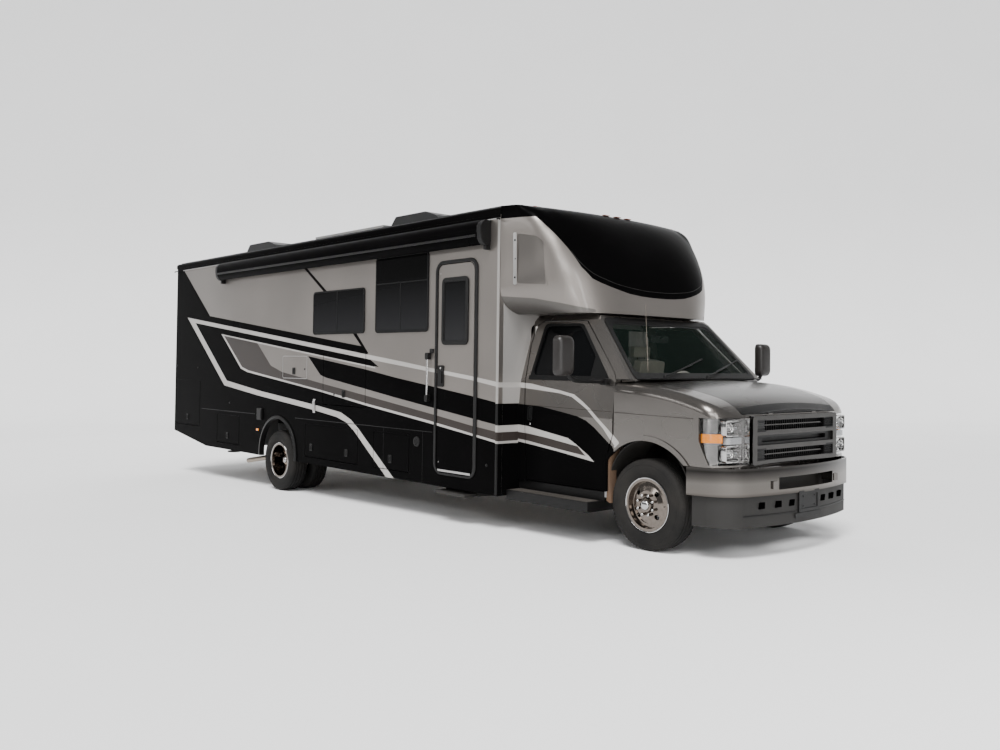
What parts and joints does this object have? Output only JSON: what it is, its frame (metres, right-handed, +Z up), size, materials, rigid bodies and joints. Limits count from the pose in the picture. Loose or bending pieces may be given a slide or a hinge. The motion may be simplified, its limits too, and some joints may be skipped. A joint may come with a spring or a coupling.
{
  "type": "motorhome",
  "caption": "Overcab motorhome on a cutaway van chassis with twin rear wheels, entry door, opening compartments, roof units and folding step.",
  "frame": {"origin": "on the ground under the middle of the bounding box", "axes": "+X forward, +Y to the vehicle's left, +Z up"},
  "size_m": [9.8934, 3.11, 3.45],
  "materials": {
    "body_silver": "metallic champagne silver enamel",
    "body_black": "gloss black enamel",
    "cap_shell": "painted moulded cap",
    "roof_black": "black roof skin",
    "dark_glass": "tinted glazing",
    "green_glass": "laminated glazing with a green tint",
    "chassis_black": "satin black chassis paint",
    "cast_dark": "dark casting",
    "steel_bright": "polished stainless wheel liners",
    "tyre_black": "tyre rubber",
    "chrome_bright": "bright chrome",
    "plastic_black": "moulded black plastic",
    "plastic_grey": "moulded grey plastic",
    "plastic_white": "white roof shroud",
    "lamp_clear": "clear lamp lenses",
    "lamp_red": "red lamp lenses",
    "trim_beige": "beige cloth",
    "floor_wood": "plywood floor",
    "locker_plastic": "rotary moulded bins",
    "panel_dark": "solar cells under glass",
    "alloy": "extruded aluminium"
  },
  "bodies": {
    "chassis": {"air_conditioners": "plastic_black", "awning": "roof_black", "bumpers": "chrome_bright", "cab_seats": "trim_beige", "cab_shell": "body_silver", "coach_floor": "floor_wood", "coach_roof": "roof_black", "coach_windows": "dark_glass", "dashboard": "plastic_black", "engine_block": "cast_dark", "exhaust_pipe": "steel_bright", "frame_rails": "chassis_black", "front_beams": "chassis_black", "front_bulkhead": "floor_wood", "front_cap": "cap_shell", "front_fenders": "body_silver", "fuel_tank": "chassis_black", "grille": "chrome_bright", "headlamps": "lamp_clear", "leaf_springs": "chassis_black", "left_wall": "body_silver", "levelling_jacks": "chassis_black", "lower_valance": "plastic_grey", "rear_axle": "cast_dark", "rear_wall": "body_black", "right_wall": "body_silver", "roof_vents": "plastic_white", "running_boards": "plastic_black", "solar_panels": "panel_dark", "step_frame": "chassis_black", "storage_boxes": "locker_plastic", "tail_lamps": "lamp_red", "tow_receiver": "chassis_black", "windscreen": "green_glass"},
    "knuckle_right": {"knuckle_right": "cast_dark"},
    "knuckle_left": {"knuckle_left": "cast_dark"},
    "front_wheel_right": {"front_rim_right": "steel_bright", "front_tyre_right": "tyre_black"},
    "front_wheel_left": {"front_rim_left": "steel_bright", "front_tyre_left": "tyre_black"},
    "rear_wheels_right": {"rear_rims_right": "steel_bright", "rear_tyres_right": "tyre_black"},
    "rear_wheels_left": {"rear_rims_left": "steel_bright", "rear_tyres_left": "tyre_black"},
    "hood": {"hood": "body_silver"},
    "cab_door_right": {"cab_door_right": "body_silver", "cab_door_glass_right": "green_glass", "mirror_right": "plastic_black"},
    "cab_door_left": {"cab_door_left": "body_silver", "cab_door_glass_left": "green_glass", "mirror_left": "plastic_black"},
    "entry_door": {"entry_door": "body_silver"},
    "step_links": {"step_links": "alloy"},
    "step_tread": {"step_tread": "alloy"},
    "rear_locker_door": {"rear_locker_door": "body_black"},
    "small_locker_door": {"small_locker_door": "body_black"},
    "long_skirt_door": {"long_skirt_door": "body_silver"},
    "short_skirt_door": {"short_skirt_door": "body_silver"},
    "wall_hatch": {"wall_hatch": "body_silver"},
    "left_locker_door": {"left_locker_door": "body_silver"}
  },
  "joints": [
    {"name": "steer_right", "type": "hinge", "parent": "chassis", "child": "knuckle_right", "pos_m": [4.05296, -0.81, 0.372], "axis": [0, 0, 1], "range_deg": [-35, 35]},
    {"name": "front_spin_right", "type": "hinge", "parent": "knuckle_right", "child": "front_wheel_right", "pos_m": [4.05296, -0.8815, 0.372], "axis": [0, 1, 0], "continuous": true},
    {"name": "rear_spin_right", "type": "hinge", "parent": "chassis", "child": "rear_wheels_right", "pos_m": [-1.59704, -0.99, 0.372], "axis": [0, 1, 0], "continuous": true},
    {"name": "cab_door_right", "type": "hinge", "parent": "chassis", "child": "cab_door_right", "pos_m": [3.72414, -1.007, 1.10652], "axis": [0.0192, 0, 0.9998], "range_deg": [0, 65]},
    {"name": "steer_left", "type": "hinge", "parent": "chassis", "child": "knuckle_left", "pos_m": [4.05296, 0.81, 0.372], "axis": [0, 0, 1], "range_deg": [-35, 35]},
    {"name": "front_spin_left", "type": "hinge", "parent": "knuckle_left", "child": "front_wheel_left", "pos_m": [4.05296, 0.8815, 0.372], "axis": [0, 1, 0], "continuous": true},
    {"name": "rear_spin_left", "type": "hinge", "parent": "chassis", "child": "rear_wheels_left", "pos_m": [-1.59704, 0.99, 0.372], "axis": [0, 1, 0], "continuous": true},
    {"name": "cab_door_left", "type": "hinge", "parent": "chassis", "child": "cab_door_left", "pos_m": [3.72414, 1.007, 1.10652], "axis": [-0.0192, 0, -0.9998], "range_deg": [0, 65]},
    {"name": "hood", "type": "hinge", "parent": "chassis", "child": "hood", "pos_m": [4.01942, 0, 1.3789], "axis": [0, -1, 0], "range_deg": [0, 50]},
    {"name": "entry_door", "type": "hinge", "parent": "chassis", "child": "entry_door", "pos_m": [2.20118, -1.255, 1.43581], "axis": [0.0192, 0, 0.9998], "range_deg": [0, 95]},
    {"name": "rear_locker_door", "type": "hinge", "parent": "chassis", "child": "rear_locker_door", "pos_m": [-4.32969, -1.255, 1.37518], "axis": [-0.9998, 0, 0.0192], "range_deg": [0, 90]},
    {"name": "small_locker_door", "type": "hinge", "parent": "chassis", "child": "small_locker_door", "pos_m": [-2.99263, -1.255, 0.89642], "axis": [-0.9998, 0, 0.0192], "range_deg": [0, 90]},
    {"name": "long_skirt_door", "type": "hinge", "parent": "chassis", "child": "long_skirt_door", "pos_m": [-0.34662, -1.255, 0.84562], "axis": [-0.9998, 0, 0.0192], "range_deg": [0, 90]},
    {"name": "short_skirt_door", "type": "hinge", "parent": "chassis", "child": "short_skirt_door", "pos_m": [0.85816, -1.255, 0.82248], "axis": [-0.9998, 0, 0.0192], "range_deg": [0, 90]},
    {"name": "wall_hatch", "type": "hinge", "parent": "chassis", "child": "wall_hatch", "pos_m": [-0.06548, -1.255, 1.68337], "axis": [-0.9998, 0, 0.0192], "range_deg": [0, 90]},
    {"name": "left_locker_door", "type": "hinge", "parent": "chassis", "child": "left_locker_door", "pos_m": [0.01832, 1.255, 0.83861], "axis": [0.9998, 0, -0.0192], "range_deg": [0, 90]},
    {"name": "step_swing", "type": "hinge", "parent": "chassis", "child": "step_links", "pos_m": [1.90598, -1.075, 0.38629], "axis": [-0.9998, 0, 0.0192], "range_deg": [0, 120]},
    {"name": "step_level", "type": "hinge", "parent": "step_links", "child": "step_tread", "pos_m": [1.90454, -0.9451, 0.3113], "axis": [-0.9998, 0, 0.0192], "range_deg": [-120, 0]}
  ],
  "couplings": [
    {"joint": "steer_right", "follows": "steer_left", "ratio": 1},
    {"joint": "step_level", "follows": "step_swing", "ratio": -1}
  ]
}
